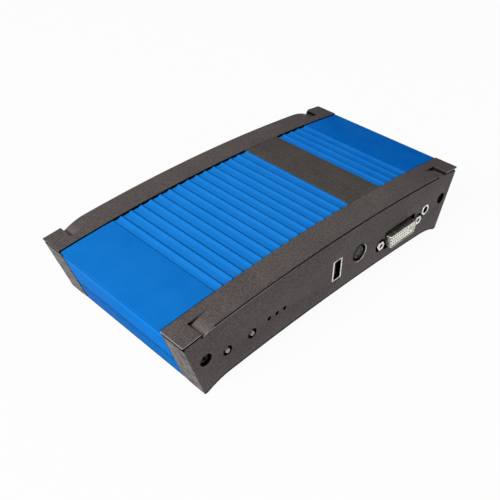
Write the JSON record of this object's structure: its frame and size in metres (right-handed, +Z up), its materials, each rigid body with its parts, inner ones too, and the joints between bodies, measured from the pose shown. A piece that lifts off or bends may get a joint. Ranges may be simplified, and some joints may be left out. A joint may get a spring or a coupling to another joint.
{
  "type": "video encoder",
  "caption": "Desktop video encoder box: dark arched side panels round a ribbed blue cover, with push buttons, status lamps, and video, data, audio, network and power sockets.",
  "frame": {"origin": "middle of the whole footprint, video socket included, on the surface that the feet stand on", "axes": "+X along the case towards the audio socket, -Y out of the socket panel, +Z up"},
  "size_m": [0.2, 0.1043, 0.0418],
  "materials": {
    "panel_plastic": "fine moulded grain, dark warm grey",
    "blue_plastic": "fine moulded grain, bright blue",
    "bridge_plastic": "fine moulded grain, dark grey",
    "black_steel": "black oxide",
    "insert_brass": "turned",
    "board_green": "green solder mask",
    "chip_black": "moulded package",
    "pad_grey": "soft heat pad",
    "sink_aluminium": "extruded, bead blasted",
    "can_steel": "drawn can",
    "coil_grey": "moulded ferrite",
    "holder_black": "moulded",
    "plated_shell": "tin plated",
    "ivory_block": "moulded, warm white",
    "socket_black": "moulded",
    "contact_gold": "gold plated",
    "button_plastic": "smooth",
    "collar_black": "smooth",
    "pipe_clear": "clear moulded",
    "lamp_body": "moulded, cream"
  },
  "bodies": {
    "case": {"bottom_tray": "blue_plastic", "top_cover": "blue_plastic", "label_bridge": "bridge_plastic", "front_panel": "panel_plastic", "rear_panel": "panel_plastic", "panel_screws": "black_steel", "screw_inserts": "insert_brass", "case_screws": "black_steel", "board_screws": "can_steel", "main_board": "board_green", "processor_chip": "chip_black", "thermal_pad": "pad_grey", "heat_sink": "sink_aluminium", "memory_chips": "chip_black", "video_input_chip": "chip_black", "flash_chip": "chip_black", "audio_chip": "chip_black", "network_chip": "chip_black", "network_transformer": "chip_black", "clock_crystals": "can_steel", "capacitors": "can_steel", "power_inductors": "coil_grey", "coin_cell_holder": "holder_black", "coin_cell": "can_steel", "dvi_shell": "plated_shell", "dvi_contact_block": "ivory_block", "dvi_housing": "socket_black", "dvi_leads": "plated_shell", "dvi_jackscrews": "plated_shell", "usb_shell": "plated_shell", "usb_tongue": "socket_black", "usb_contacts": "contact_gold", "mini_din_ring": "plated_shell", "mini_din_core": "socket_black", "mini_din_housing": "socket_black", "audio_jack_sleeve": "plated_shell", "audio_jack_housing": "socket_black", "audio_jack_springs": "plated_shell", "button_collars": "collar_black", "board_switches": "holder_black", "light_pipes": "pipe_clear", "status_leds": "lamp_body", "network_jack_shield": "plated_shell", "network_jack_housing": "socket_black", "network_jack_contacts": "contact_gold", "power_jack_housing": "socket_black", "power_jack_pin": "plated_shell", "power_jack_spring": "plated_shell"},
    "power_button": {"power_button": "button_plastic", "power_plunger": "holder_black"},
    "record_button": {"record_button": "button_plastic", "record_plunger": "holder_black"}
  },
  "joints": [
    {"name": "power_button_press", "type": "slide", "parent": "case", "child": "power_button", "axis": [0, 1, 0], "range_m": [0, 0.0008], "stiffness_N_per_m": 300, "springref_m": -0.0005},
    {"name": "record_button_press", "type": "slide", "parent": "case", "child": "record_button", "axis": [0, 1, 0], "range_m": [0, 0.0008], "stiffness_N_per_m": 300, "springref_m": -0.0005}
  ]
}
